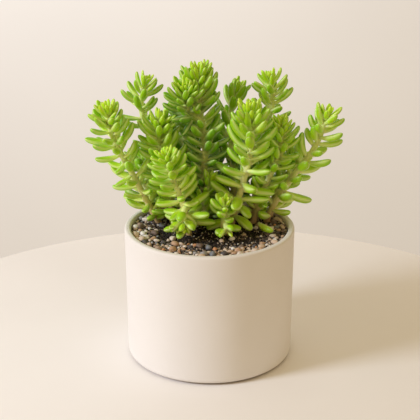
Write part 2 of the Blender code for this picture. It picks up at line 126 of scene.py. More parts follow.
class Finish:
    """A material whose nodes are laid out by short calls."""

    def __init__(self, name, roughness):
        self.material = bpy.data.materials.new(name)
        self.material.use_nodes = True
        self.nodes = self.material.node_tree.nodes
        self.links = self.material.node_tree.links
        self.shader = self.nodes["Principled BSDF"]
        self.shader.inputs["Roughness"].default_value = roughness

    def node(self, kind, inputs=None, **settings):
        made = self.nodes.new(kind)
        for key, value in settings.items():
            setattr(made, key, value)
        for key, value in (inputs or {}).items():
            if isinstance(value, bpy.types.NodeSocket):
                self.links.new(value, made.inputs[key])
            else:
                made.inputs[key].default_value = value
        return made

    def mark(self, name):
        return self.node("ShaderNodeAttribute", attribute_name=name).outputs["Fac"]

    def grain(self, size, detail=3.0, roughness=0.5):
        """Noise whose grains are about one size across, from 0 to 1."""
        place = self.node("ShaderNodeTexCoord").outputs["Object"]
        made = self.node("ShaderNodeTexNoise", {"Vector": place, "Scale": 1 / size, "Detail": detail,
                                                "Roughness": roughness})
        return made.outputs["Fac"]

    def spread(self, value, low, high, new_low, new_high):
        made = self.node("ShaderNodeMapRange", {"Value": value, "From Min": low, "From Max": high,
                                                "To Min": new_low, "To Max": new_high})
        return made.outputs["Result"]

    def times(self, first, second):
        return self.node("ShaderNodeMath", {0: first, 1: second}, operation="MULTIPLY").outputs[0]

    def ramp(self, value, stops, mode="LINEAR"):
        made = self.node("ShaderNodeValToRGB", {"Fac": value})
        made.color_ramp.interpolation = mode
        while len(made.color_ramp.elements) < len(stops):
            made.color_ramp.elements.new(1.0)
        for element, (place, colour) in zip(made.color_ramp.elements, stops):
            element.position = place
            element.color = (*colour, 1.0)
        return made.outputs["Color"]

    def blend(self, share, first, second, mode="MIX"):
        made = self.node("ShaderNodeMix", data_type="RGBA", blend_type=mode)
        for socket, value in ((made.inputs[0], share), (made.inputs[6], first), (made.inputs[7], second)):
            if isinstance(value, bpy.types.NodeSocket):
                self.links.new(value, socket)
            elif isinstance(value, tuple):
                socket.default_value = (*value, 1.0)
            else:
                socket.default_value = value
        return made.outputs[2]

    def bump(self, height, distance, strength=1.0):
        made = self.node("ShaderNodeBump", {"Height": height, "Distance": distance, "Strength": strength})
        self.links.new(made.outputs["Normal"], self.shader.inputs["Normal"])

    def colour(self, socket):
        self.links.new(socket, self.shader.inputs["Base Color"])

    def dullness(self, socket):
        self.links.new(socket, self.shader.inputs["Roughness"])


def pot_profile():
    """The turned outline: underside, foot, wall, lip, inside wall and inside floor."""
    outline = [(8 * MM, FOOT_RECESS), (FOOT_RING - 1.5 * MM, FOOT_RECESS), (FOOT_RING, 0.0)]
    outline += [(FOOT_RING_RADIUS - 0.3 * MM, 0.0), (FOOT_RING_RADIUS, 0.3 * MM)]
    outline += [(FOOT_RING_RADIUS, FOOT_LIFT - 0.2 * MM), (FOOT_RING_RADIUS + 0.2 * MM, FOOT_LIFT)]
    for step in range(13):
        turn = math.radians(90 * step / 12)
        outline.append((
            POT_FOOT_RADIUS - FOOT_ROUNDING + FOOT_ROUNDING * math.sin(turn),
            FOOT_LIFT + FOOT_ROUNDING - FOOT_ROUNDING * math.cos(turn),
        ))
    for step in range(1, 24):
        share = step / 24
        outline.append((
            POT_FOOT_RADIUS + (POT_RIM_RADIUS - POT_FOOT_RADIUS) * share,
            FOOT_LIFT + FOOT_ROUNDING + (POT_HEIGHT - LIP_ROUNDING - FOOT_LIFT - FOOT_ROUNDING) * share,
        ))
    for step in range(9):
        turn = math.radians(90 * step / 8)
        outline.append((
            POT_RIM_RADIUS - LIP_ROUNDING + LIP_ROUNDING * math.cos(turn),
            POT_HEIGHT - LIP_ROUNDING + LIP_ROUNDING * math.sin(turn),
        ))
    for step in range(9):
        turn = math.radians(90 - 90 * step / 8)
        outline.append((
            INSIDE_RADIUS + LIP_ROUNDING - LIP_ROUNDING * math.cos(turn),
            POT_HEIGHT - LIP_ROUNDING + LIP_ROUNDING * math.sin(turn),
        ))
    for height in (80.0, 60.0, 40.0, 20.0, 10.0):
        outline.append((INSIDE_RADIUS, height * MM))
    outline.append((INSIDE_RADIUS, POT_FLOOR))
    outline.append((8 * MM, POT_FLOOR))
    return outline


pot_rings = []
for radius, height in pot_profile():
    ring = around(radius, height, POT_SIDES)
    for point in ring:
        pull = noise.noise(Vector((point.x, point.y, point.z)) / (38 * MM)) - 0.5
        if radius > FOOT_RING:
            point.xy *= 1 - WARPING * max(0.0, min(1.0, 0.5 - pull)) / radius
    pot_rings.append(ring)

ceramic = Finish("matte cream ceramic", 0.62)
cloud = ceramic.grain(26 * MM, 2.0)
speckle = ceramic.grain(0.9 * MM, 2.0, 0.6)
glaze = ceramic.blend(
    ceramic.spread(speckle, 0.66, 0.74, 0.0, 0.10),
    ceramic.ramp(cloud, [(0.35, (0.775, 0.742, 0.705)), (0.65, (0.79, 0.757, 0.72))]),
    (0.62, 0.55, 0.46),
)
# Painted shade: the lowest 1.1 to 2 mm of the pot are blended toward a dark tan, which darkens and warms
# the shade where the pot meets the table.
lift = ceramic.node("ShaderNodeSeparateXYZ", {0: ceramic.node("ShaderNodeTexCoord").outputs["Object"]})
painted_foot_shade = ceramic.spread(lift.outputs["Z"], *FOOT_SHADE_HEIGHTS, 0.9, 0.0)
ceramic.colour(ceramic.blend(painted_foot_shade, glaze, (0.40, 0.27, 0.17)))
ceramic.dullness(ceramic.spread(ceramic.grain(2.4 * MM, 4.0), 0.3, 0.7, 0.54, 0.70))
ceramic.bump(ceramic.grain(0.7 * MM, 5.0, 0.6), 0.04 * MM, 0.5)
ceramic.shader.inputs["Specular IOR Level"].default_value = 0.35

pot_shell = (*skin(pot_rings), 0, {})
pot = piece_from("pot_ceramic", [pot_shell], [ceramic.material])
pot.data.set_sharp_from_angle(angle=math.radians(50))
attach(pot, "root")
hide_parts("pot")


# The growing mix. Dark moist peat and fine bark that fills the pot, crumbly on top, where
# loose crumbs and a few pale grains of sand and pumice lie on it as they fell.
MIX_LEVEL = 84.9 * MM
MIX_MOUND = 1.2 * MM  # how far the bare mix in the middle stands over the mix below the gravel
MIX_LUMPS = 0.7 * MM
GRAVEL_INNER_RADIUS = 30.5 * MM
GRAVEL_EDGE_WAVE = 4.0 * MM
CRUMBS = 7500
FACETS = 4  # flattened sides of a crumb or a pebble
CRUMB_SIZES = (0.35 * MM, 0.95 * MM)
MIX_SIDES = 240
MIX_RADIUS = 49.9 * MM


def gravel_edge(turn):
    """The radius where the gravel begins, which wanders as it goes round."""
    return GRAVEL_INNER_RADIUS + GRAVEL_EDGE_WAVE * (math.sin(3 * turn + 3.9) + 0.5 * math.sin(7 * turn))


def mix_lumps(x, y):
    """The lumpy rise of the growing mix at a place, between -1 and 1."""
    crossed = math.sin(x / (3.1 * MM) + 1) * math.sin(y / (2.7 * MM))
    return 0.6 * crossed + 0.4 * math.sin((x + 2 * y) / (4.3 * MM))


def mix_height(x, y):
    """The height of the mix's surface at a place."""
    reach = math.hypot(x, y)
    bare = gravel_edge(math.atan2(y, x)) - 1.0 * MM
    share = max(0.0, min(1.0, (bare - reach) / (5 * MM)))
    fine = noise.fractal(Vector((x, y, 0)) / (1.6 * MM), 1.0, 2.0, 3) * 0.35 * MM
    return MIX_LEVEL - 0.1 * MM + share * (MIX_MOUND + MIX_LUMPS * mix_lumps(x, y)) + fine


def ball_mesh(subdivisions):
    """The corners and triangles of a round ball of radius 1, as arrays."""
    shape = bmesh.new()
    bmesh.ops.create_icosphere(shape, subdivisions=subdivisions, radius=1.0)
    corners = np.array([corner.co[:] for corner in shape.verts])
    triangles = np.array([[corner.index for corner in face.verts] for face in shape.faces])
    shape.free()
    return corners, triangles


def stones_from(name, batches, finish, mark):
    """One piece of many stones: each is a ball made uneven, stretched and turned its own way."""
    points, faces, tones = [], [], []
    start = 0
    stones = [(stone, *ball) for places, ball in batches for stone in places]
    for (place, size, tone, seed), corners, triangles in stones:
        draw = np.random.default_rng(seed)
        shape = corners.copy()
        for _ in range(FACETS):
            way = draw.normal(size=3)
            way /= np.linalg.norm(way)
            flat = draw.uniform(0.6, 0.92)
            reach = shape @ way
            shape -= np.outer(np.maximum(reach - flat, 0) * 0.8, way)
        lump = draw.normal(size=(3, 3)) * 1.6
        shape *= 1 + 0.07 * np.sin(shape @ lump[0] * 1.7 + lump[1][0])[:, None]
        shape *= np.array(size)
        turn = draw.uniform(0, 2 * math.pi)
        tilt = draw.normal() * 0.35
        about_z = np.array([
            [math.cos(turn), -math.sin(turn), 0], [math.sin(turn), math.cos(turn), 0], [0, 0, 1],
        ])
        about_x = np.array([
            [1, 0, 0], [0, math.cos(tilt), -math.sin(tilt)], [0, math.sin(tilt), math.cos(tilt)],
        ])
        shape = shape @ (about_z @ about_x).T + np.array(place)
        faces.append(triangles + start)
        start += len(corners)
        points.append(shape)
        tones.append(np.full(len(corners), tone))
    mesh = bpy.data.meshes.new(name)
    mesh.from_pydata(np.concatenate(points).tolist(), [], np.concatenate(faces).tolist())
    mesh.attributes.new(mark, "FLOAT", "POINT").data.foreach_set("value", np.concatenate(tones))
    mesh.shade_smooth()
    mesh.materials.append(finish)
    piece = bpy.data.objects.new(name, mesh)
    bpy.context.scene.collection.objects.link(piece)
    return piece


mix_rings = [around(reach, POT_FLOOR + 0.3 * MM, MIX_SIDES) for reach in (8 * MM, MIX_RADIUS)]
for inset in [0.0, 0.5] + [0.9 + 0.7 * step for step in range(69)]:
    ring = around(MIX_RADIUS - inset * MM, 0, MIX_SIDES)
    for point in ring:
        point.z = mix_height(point.x, point.y)
    mix_rings.append(ring)

peat = Finish("moist growing mix", 0.9)
peat.colour(peat.ramp(peat.grain(0.7 * MM, 4.0, 0.7), [
    (0.30, (0.006, 0.004, 0.003)), (0.50, (0.022, 0.013, 0.008)), (0.62, (0.055, 0.034, 0.020)),
    (0.72, (0.16, 0.11, 0.07)),
]))
peat.dullness(peat.spread(peat.grain(3 * MM), 0.3, 0.7, 0.75, 1.0))
peat.bump(peat.grain(0.5 * MM, 5.0, 0.7), 0.5 * MM)
mix = piece_from("growing_mix", [(*skin(mix_rings), 0, {})], [peat.material])
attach(mix, "root")
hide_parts("soil")

crumb = Finish("crumbs of the mix", 0.9)
crumb_tone = crumb.ramp(crumb.mark("crumb_tone"), [
    (0.0, (0.008, 0.006, 0.004)), (0.36, (0.020, 0.013, 0.008)), (0.62, (0.06, 0.038, 0.022)),
    (0.76, (0.20, 0.14, 0.085)), (0.86, (0.48, 0.38, 0.27)), (0.93, (0.78, 0.70, 0.58)),
], "CONSTANT")
crumb.colour(crumb.blend(
    crumb.spread(crumb.grain(0.4 * MM, 3.0), 0.3, 0.7, 0.0, 0.6), crumb_tone, (0.02, 0.013, 0.009), "MIX",
))
crumb.bump(crumb.grain(0.25 * MM, 4.0, 0.7), 0.15 * MM)
draw = random.Random(11)
crumbs = []
for number in range(CRUMBS):
    reach = 49.2 * MM * math.sqrt(draw.random())
    turn = draw.uniform(0, 2 * math.pi)
    x, y = reach * math.cos(turn), reach * math.sin(turn)
    size = CRUMB_SIZES[0] + (CRUMB_SIZES[1] - CRUMB_SIZES[0]) * draw.random() ** 2.2
    shape = [size * draw.uniform(0.8, 1.25) for _ in range(3)]
    crumbs.append(((x, y, mix_height(x, y) + size * 0.25), shape, draw.random(), number))
mix_crumbs = stones_from("mix_crumbs", [(crumbs, ball_mesh(1))], crumb.material, "crumb_tone")
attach(mix_crumbs, "root")


# The gravel. River pebbles of mixed stone, 2 to 6 mm across, strewn on the mix by hand, so
# they lie thick along the pot's wall and thin out toward the bare mix in the middle.
PEBBLE_TRIES = 9000
PEBBLE_SIZES = (0.8 * MM, 2.7 * MM)
GRIT = 3400  # small sharp chips between the pebbles, mostly dark
GRIT_TONES = (0.57, 0.76)
PEBBLE_TOP = MIX_LEVEL + 3.1 * MM  # no pebble rises above this
PATCH_SIZE = 6.5 * MM  # across the gaps in the gravel where the mix shows
BARE_PATCH = -0.22  # how low the noise falls there
STEM_FEET = [
    (-13, -13), (14, 4), (9, -12), (-33, 13), (37, 14), (-24, 11), (-3, 17), (28, 11), (-27, 22),
    (26, 20), (40, 23), (14, 23), (-1, 6), (-31, 31), (-14, 31), (1, 34), (16, 35), (31, 30),
]

stone = Finish("mixed river stone", 0.65)
stone_tone = stone.ramp(stone.mark("stone_tone"), [
    (0.00, (0.54, 0.34, 0.20)), (0.10, (0.63, 0.47, 0.33)), (0.21, (0.68, 0.54, 0.42)),
    (0.32, (0.76, 0.65, 0.54)), (0.41, (0.38, 0.26, 0.18)), (0.50, (0.82, 0.74, 0.65)),
    (0.57, (0.17, 0.12, 0.09)), (0.66, (0.065, 0.06, 0.065)), (0.77, (0.18, 0.195, 0.21)),
    (0.85, (0.34, 0.33, 0.33)), (0.90, (0.86, 0.83, 0.78)), (0.955, (0.58, 0.28, 0.12)),
], "CONSTANT")
veined = stone.blend(
    stone.spread(stone.grain(1.3 * MM, 5.0, 0.65), 0.48, 0.75, 0.0, 0.5), stone_tone, (0.22, 0.14, 0.09),
)
stone.colour(stone.blend(
    stone.spread(stone.grain(0.35 * MM, 3.0, 0.6), 0.60, 0.72, 0.0, 0.5), veined, (0.72, 0.62, 0.50),
))
stone.dullness(stone.spread(stone.grain(0.8 * MM), 0.3, 0.7, 0.45, 0.8))
stone.bump(stone.grain(0.45 * MM, 5.0, 0.6), 0.12 * MM, 0.8)

draw = random.Random(29)
pebbles, spots = [], []
for number in range(PEBBLE_TRIES):
    reach = (INSIDE_RADIUS - 0.4 * MM) * math.sqrt(draw.random())
    turn = draw.uniform(0, 2 * math.pi)
    size = PEBBLE_SIZES[0] + (PEBBLE_SIZES[1] - PEBBLE_SIZES[0]) * draw.random() ** 1.1
    tone, flatness, chance = draw.random(), draw.uniform(0.6, 0.85), draw.random()
    crowding = (reach - gravel_edge(turn)) / (16 * MM)
    if chance > max(0.045, min(1.0, crowding)) ** 1.5:
        continue
    reach = min(reach, INSIDE_RADIUS - 0.3 * MM - size * 1.12)
    x, y = reach * math.cos(turn), reach * math.sin(turn)
    if noise.noise(Vector((x, y, 0)) / PATCH_SIZE) < BARE_PATCH and chance > 0.03:
        continue
    if any(math.hypot(x - foot_x * MM, y - foot_y * MM) < size + 2.6 * MM for foot_x, foot_y in STEM_FEET):
        continue
    spacing = 0.80 + 0.25 * (chance > 0.3) * (crowding < 0.7)
    if any(math.hypot(x - other_x, y - other_y) < (size + other) * spacing
           for other_x, other_y, other in spots):
        continue
    spots.append((x, y, size))
    height = min(mix_height(x, y) + size * flatness * 0.7, PEBBLE_TOP - size * flatness * 1.05)
    shape = [size * draw.uniform(0.95, 1.2), size * draw.uniform(0.8, 1.0), size * flatness]
    pebbles.append(((x, y, height), shape, tone, 7000 + number))
grit = []
for number in range(GRIT):
    turn = draw.uniform(0, 2 * math.pi)
    edge = gravel_edge(turn)
    reach = min(INSIDE_RADIUS - 1 * MM, edge + (INSIDE_RADIUS - edge) * math.sqrt(draw.random()))
    x, y = reach * math.cos(turn), reach * math.sin(turn)
    size = draw.uniform(0.35, 0.85) * MM
    tone = GRIT_TONES[0] + (GRIT_TONES[1] - GRIT_TONES[0]) * draw.random() ** 1.5
    tone = draw.random() if draw.random() < 0.22 else tone
    shape = [size * draw.uniform(0.8, 1.3), size * draw.uniform(0.8, 1.0), size * 0.8]
    grit.append(((x, y, mix_height(x, y) + 0.5 * size), shape, tone, 30000 + number))
gravel = stones_from(
    "gravel_pebbles", [(pebbles, ball_mesh(3)), (grit, ball_mesh(1))], stone.material, "stone_tone",
)
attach(gravel, "root")
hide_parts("gravel")


# The leafy stems. Each is one living shoot of a sedum: a fleshy stem, green above and browner
# at its foot, with finger-shaped juicy leaves set round it in a spiral and crowded at the tip.
STEM_FOOT = 12.0 * MM  # how deep a stem stands in the mix
GOLDEN_TURN = math.radians(137.5)
LEAF_GAP = 0.4 * MM  # air between the leaves of two stems
LEAF_WIDEST = 0.60  # of its length from the root
LEAF_NECK = 0.50  # its width at the root, as a part of its greatest
LEAF_RINGS = 15
LEAF_SIDES = 14
STEM_SIDES = 16
GRAVEL_TOP = MIX_LEVEL + 3.2 * MM  # nothing of the gravel rises above this
MIX_TOP = MIX_LEVEL + 2.0 * MM  # nor anything of the bare mix above this
BARE_MIX_RADIUS = 24.0 * MM  # the gravel keeps outside this
OUTER_REACH = 52.0 * MM  # every leaf that reaches further out than this is placed first

# Each stem's route from the soil to its growing tip, in millimetres, with the length of a
# full leaf, how plump it is, the rise from one leaf to the next, the number of leaves crowded
# in the head, the turn of the first leaf, how far full leaves open, the seed of the stem's
# chances and how far its lowest leaves droop. Turn, opening and droop are in degrees.
STEMS = {
    "stem_front_left": dict(
        route=[(-13, -13, 84), (-14.5, -13.5, 98), (-18, -15, 111), (-22.5, -17.5, 126), (-27, -20, 140)],
        branch=dict(
            route=[(-14, -15, 106), (-16, -20, 105), (-16, -25, 97)],
            leaf=11, plump=1.6, rise=3.6, head=7, turn=60, seed=1, droop=20,
        ),
        leaf=15.5, plump=0.94, rise=1.6, head=30, turn=215, open=64, seed=0, droop=65,
    ),
    "stem_right": dict(
        route=[(14, 4, 84), (16, 0, 98), (21, -2, 116), (26, -5, 142), (25, -8, 165)],
        leaf=19, plump=0.87, rise=1.95, head=36, turn=10, open=52, seed=2, droop=70,
    ),
    "stem_low_front": dict(
        route=[(9, -12, 84), (9, -14, 97), (10, -18, 109)],
        branch=dict(
            route=[(9, -14, 98), (10, -19, 97), (11, -23, 92)],
            leaf=9.5, plump=1.45, rise=6, head=2, turn=20, seed=21, droop=20,
        ),
        leaf=12.5, plump=1.3, rise=2.6, head=13, turn=30, open=64, seed=3, droop=55,
    ),
    "stem_far_left": dict(
        route=[(-33, 13, 84), (-42, 7, 105), (-52, 2, 128), (-60, -4, 147), (-63, -8, 165)],
        leaf=17.5, plump=0.92, rise=2.1, head=28, turn=100, open=64, seed=4, droop=10,
    ),
    "stem_far_right": dict(
        route=[(37, 14, 84), (43, 11, 100), (55, 9, 120), (67, 6, 139), (74, 5, 159)],
        leaf=17, plump=1.05, rise=3.0, head=14, turn=270, open=62, seed=6, droop=20,
    ),
    "stem_left": dict(
        route=[(-24, 11, 84), (-26, 8, 108), (-28, 5, 127), (-32, 3, 146), (-31, 2, 157)],
        leaf=17, plump=0.87, rise=1.6, head=32, turn=250, open=60, seed=7, droop=25,
    ),
    "stem_centre": dict(
        route=[(-3, 17, 84), (-4, 14, 110), (-3, 13, 136), (-6, 11, 163), (-7, 10, 184)],
        branch=dict(route=[(-5, 11, 155), (-14, 7, 163), (-15, 2, 176)], seed=9),
        leaf=18.5, plump=0.78, rise=1.25, head=36, turn=90, open=56, seed=8, droop=20,
    ),
    "stem_right_inner": dict(
        route=[(28, 11, 84), (34, 8, 106), (42, 7, 127), (46, 5, 138), (45, 5, 153)],
        leaf=15.5, plump=0.88, rise=1.6, head=33, turn=225, open=58, seed=10, droop=5,
    ),
    "stem_left_back": dict(
        route=[(-27, 22, 84), (-30, 20, 106), (-38, 20, 140), (-44, 21, 161), (-41, 22, 176)],
        leaf=15.5, plump=0.88, rise=2.5, head=17, turn=105, open=60, seed=11, droop=5,
    ),
    "stem_right_back": dict(
        route=[(26, 20, 84), (32, 19, 112), (34, 20, 142), (40, 21, 161), (39, 22, 178)],
        leaf=16.5, plump=0.9, rise=2.4, head=17, turn=350, open=60, seed=12, droop=5,
    ),
    "stem_low_right": dict(
        route=[(40, 23, 84), (43, 23, 99), (50, 22, 113), (58, 21, 126)],
        leaf=15, plump=1.1, rise=2.3, head=18, turn=135, open=66, seed=13, droop=5,
    ),
    "stem_back": dict(
        route=[(14, 23, 84), (16, 24, 110), (14, 28, 134), (14, 31, 156), (18, 32, 168)],
        leaf=15.5, plump=0.92, rise=3.0, head=10, turn=285, open=42, seed=14, droop=5,
    ),
    "stem_low_centre": dict(
        route=[(-1, 6, 84), (-4, 6, 101), (1, 5, 117)],
        leaf=13.5, plump=1.0, rise=2.4, head=17, turn=10, open=58, seed=15, droop=5,
    ),
    "stem_rear_left": dict(
        route=[(-31, 31, 84), (-40, 33, 99), (-46, 38, 121)],
        leaf=17.5, plump=1.3, rise=2.5, head=18, turn=80, open=62, seed=16, droop=5,
    ),
    "stem_rear_mid_left": dict(
        route=[(-14, 31, 84), (-15, 35, 118), (-18, 42, 149)],
        leaf=17.5, plump=1.3, rise=2.5, head=18, turn=35, open=62, seed=17, droop=5,
    ),
    "stem_rear_centre": dict(
        route=[(1, 34, 84), (0, 41, 111), (1, 49, 137)],
        leaf=17.5, plump=1.3, rise=2.5, head=18, turn=245, open=62, seed=18, droop=5,
    ),
    "stem_rear_mid_right": dict(
        route=[(16, 35, 84), (17, 40, 104), (20, 48, 125)],
        leaf=17.5, plump=1.3, rise=2.5, head=18, turn=195, open=62, seed=19, droop=5,
    ),
    "stem_rear_right": dict(
        route=[(31, 30, 84), (37, 35, 115), (45, 42, 138)],
        leaf=17.5, plump=1.3, rise=2.5, head=18, turn=300, open=62, seed=20, droop=5,
    ),
}

# What is tried to keep a leaf clear: degrees round its stem, degrees of opening, and its scale
SHIFTS = [(0, 0, 1), (14, 0, 1), (-14, 0, 1), (0, 0, 0.85), (0, -12, 1), (0, 12, 1), (25, -10, 0.95),
          (-25, -10, 0.95), (0, -25, 0.9), (0, 0, 0.7), (30, -20, 0.8), (-30, -20, 0.8), (0, -35, 0.75),
          (0, 10, 0.6)]

# Painted shade: how much darker green a stem's leaves are painted at its tip and low down. The rear ones
# get little light, so their leaves carry this painted shade.
PAINTED_STEM_SHADE = {
    "stem_centre": (0.0, 1.0), "stem_back": (0.2, 0.9), "stem_left_back": (0.0, 0.6),
    "stem_right_back": (0.0, 0.6), "stem_rear_left": (0.3, 0.7), "stem_rear_mid_left": (0.6, 1.0),
    "stem_rear_centre": (0.7, 1.0), "stem_rear_mid_right": (0.6, 1.0), "stem_rear_right": (0.4, 0.8),
}

# The fallen leaf, which lies on its side on the gravel at the front right
FALLEN_ROOT = (32.0 * MM, -0.5 * MM)
FALLEN_HEADING = math.radians(-60)
FALLEN_CURL = math.radians(50)
FALLEN_LENGTH = 17.5 * MM
FALLEN_HALF_WIDTH = 2.4 * MM
FALLEN_REST = MIX_LEVEL + 2.9 * MM


def foot_of(stem):
    """Where a stem enters the mix, and the straight direction of its foot."""
    entry, above = (Vector(point) * MM for point in stem["route"][:2])
    return entry, (above - entry).normalized()


def ring_across(centre, direction, radius, sides):
    """A ring of points square to a direction."""
    level = Vector((1, 0, 0))
    side = (level - direction * level.dot(direction)).normalized()
    other = direction.cross(side)
    turns = [2 * math.pi * step / sides for step in range(sides)]
    return [centre + (side * math.cos(turn) + other * math.sin(turn)) * radius for turn in turns]


def smooth_route(route):
    """Evenly close points along a smooth curve through a route's own points."""
    marks = [Vector(point) * MM for point in route]
    marks = [marks[0] * 2 - marks[1]] + marks + [marks[-1] * 2 - marks[-2]]
    line = []
    for before, start, end, after in zip(marks, marks[1:], marks[2:], marks[3:]):
        for step in range(12):
            t = step / 12
            line.append(0.5 * (
                2 * start + (end - before) * t + (2 * before - 5 * start + 4 * end - after) * t ** 2
                + (3 * start - before - 3 * end + after) * t ** 3
            ))
    return line + [marks[-2]]


def stem_radius(share_from_tip):
    """A stem's radius, from its tip (0) to the soil (1)."""
    return (1.7 + 0.4 * share_from_tip) * MM


class Axis:
    """A stem's axis, measured from its growing tip downward."""

    def __init__(self, route):
        self.line = smooth_route(route)[::-1]
        self.marks = [0.0]
        for above, below in zip(self.line, self.line[1:]):
            self.marks.append(self.marks[-1] + (below - above).length)
        self.length = self.marks[-1]

    def at(self, distance):
        """The point at a distance below the tip, and the direction of growth there."""
        index = 0
        while index < len(self.marks) - 2 and self.marks[index + 1] < distance:
            index += 1
        above, below = self.line[index], self.line[index + 1]
        share = (distance - self.marks[index]) / (self.marks[index + 1] - self.marks[index])
        low = self.line[min(index + 3, len(self.line) - 1)]
        high = self.line[max(index - 2, 0)]
        return above.lerp(below, share), (high - low).normalized()


def leaf_half_width(share):
    """Half the width of a leaf as a part of its greatest, from its root (0) to its tip (1)."""
    swell = 0.5 + 0.5 * math.sin(math.pi * (min(share / LEAF_WIDEST, 1) - 0.5))
    taper = max(0.0, 1 - max(0.0, (share - LEAF_WIDEST) / (1 - LEAF_WIDEST)) ** 2.6) ** 0.5
    return (LEAF_NECK + (1 - LEAF_NECK) * swell) * taper


def leaf_at(leaf, share):
    """A point of a leaf's middle line, which is an arc, and the way its upper face looks there."""
    start, curl = leaf["open"], leaf["curl"]
    end = start - curl * share
    forward = (math.sin(start) - math.sin(end)) / curl
    outward = (math.cos(end) - math.cos(start)) / curl
    point = leaf["root"] + (leaf["along"] * forward + leaf["out"] * outward) * leaf["length"]
    return point, leaf["along"] * math.sin(end) - leaf["out"] * math.cos(end)


def leaf_beads(leaf):
    """Balls along a leaf that hold all of it, for keeping leaves clear of each other."""
    marks = (0.2, 0.4, 0.6, 0.78, 0.94)
    return [(leaf_at(leaf, mark)[0], leaf["half"] * leaf_half_width(mark)) for mark in marks]


def fits(beads, own, taken):
    """Whether beads are clear of the ground, of the pot's lip and of what other stems take up."""
    for point, radius in beads:
        reach = math.hypot(point.x, point.y)
        floor = MIX_TOP if reach < BARE_MIX_RADIUS else GRAVEL_TOP
        if reach > INSIDE_RADIUS - 2 * MM:
            floor = POT_HEIGHT
        if point.z - radius < floor + LEAF_GAP and reach < POT_RIM_RADIUS + radius + LEAF_GAP:
            return False
        for owner, other, width in taken:
            if owner != own and (point - other).length < radius + width + LEAF_GAP:
                return False
    return True


def leaf_slots(axis, stem):
    """Each leaf's number, its age from 0 to 1 within the head, and its distance below the tip."""
    distance, index = 0.5 * MM, 0
    while distance < axis.length - 4 * MM:
        yield index, min(1.0, (index + 0.5) / stem["head"]), distance
        spread = min(1.0, index / (1.6 * stem["head"]))
        distance += stem["rise"] * MM * (0.10 + 0.90 * spread ** 1.7)
        index += 1


def plan_leaf(axis, stem, index, age, distance):
    """One leaf: where it grows, which way it turns, how far it opens, and its size."""
    draw = random.Random(1000 * stem["seed"] + index)
    root, along = axis.at(distance + 0.4 * stem["rise"] * MM * age * draw.uniform(-1, 1))
    level = (Vector((1, 0, 0)) - along * along.x).normalized()
    lowness = (distance / axis.length) ** 3
    fullness = stem["droop"] / 100 * distance / axis.length
    chance = [draw.uniform(-1, 1) * (1 + 1.6 * lowness) for _ in range(4)]
    turn = math.radians(stem["turn"]) + index * GOLDEN_TURN + 0.30 * chance[0]
    opening = 8 + stem["open"] * age ** 0.52 + 10 * chance[1] + min(8, max(0, index - stem["head"]) * 0.5)
    opening += stem["droop"] * lowness * 0.6
    length = stem["leaf"] * MM * (0.44 + 0.56 * age ** 0.7 + 0.4 * fullness) * (0.97 + 0.12 * chance[2])
    curl = 12 + 22 * age - stem["droop"] * 1.6 * lowness + 12 * chance[3]
    return dict(
        root=root, along=along, level=level, turn=turn, open=math.radians(opening),
        curl=math.radians(curl), length=length, age=age, low=distance / axis.length,
        half=((0.105 + 0.04 * age) * length + 0.2 * MM) * stem["plump"] * (1 + 0.3 * fullness),
    )


def left_for_later(plan, stem, index):
    """Whether a leaf is placed second: two in three of a head, and every other one of the inner ones."""
    if index < stem["head"] * 0.6:
        return index > 2 and index % 3 > 0
    leaf = turned(plan, 0, 0, 1)
    outward = leaf["root"] + leaf["out"] * leaf["length"]
    return index % 2 == 1 and math.hypot(outward.x, outward.y) < OUTER_REACH


def turned(leaf, turn, opening, scale):
    """The leaf turned round its stem, opened further and scaled."""
    other = dict(leaf)
    azimuth = leaf["turn"] + math.radians(turn)
    across = leaf["along"].cross(leaf["level"])
    other["out"] = leaf["level"] * math.cos(azimuth) + across * math.sin(azimuth)
    other["open"] = leaf["open"] + math.radians(opening)
    other["length"] = leaf["length"] * scale
    other["half"] = leaf["half"] * scale
    return other


def fallen_leaf():
    """The fallen leaf, curved in plan, with its blade on edge."""
    along = Vector((math.cos(FALLEN_HEADING), math.sin(FALLEN_HEADING), 0))
    return dict(
        root=Vector((*FALLEN_ROOT, FALLEN_REST + FALLEN_HALF_WIDTH * 0.8)), along=along,
        out=Vector((along.y, -along.x, 0)), open=FALLEN_CURL / 2, curl=FALLEN_CURL,
        length=FALLEN_LENGTH, half=FALLEN_HALF_WIDTH, age=1.0, low=1.0,
    )


def grow_stems():
    """All stems with their leaves, each leaf turned or trimmed until it is clear of other stems."""
    axes = []
    taken = [("fallen_leaf", point, radius) for point, radius in leaf_beads(fallen_leaf())]
    for name, stem in STEMS.items():
        axes.append((name, stem, Axis(stem["route"])))
        if "branch" in stem:
            branch = {**stem, **stem["branch"]}
            axes.append((name, branch, Axis(branch["route"])))
    for name, stem, axis in axes:
        distance = 0.0
        while distance < axis.length:
            taken.append((name, axis.at(distance)[0], stem_radius(distance / axis.length)))
            distance += 2.5 * MM
    grown = [(name, axis, []) for name, stem, axis in axes]
    for second in (False, True):
        for number, (name, stem, axis) in enumerate(axes):
            for index, age, distance in leaf_slots(axis, stem):
                plan = plan_leaf(axis, stem, index, age, distance)
                if left_for_later(plan, stem, index) != second:
                    continue
                for shift in SHIFTS:
                    leaf = turned(plan, *shift)
                    beads = leaf_beads(leaf)
                    if fits(beads, name, taken):
                        grown[number][2].append(leaf)
                        taken.extend((name, point, radius) for point, radius in beads)
                        break
    return grown


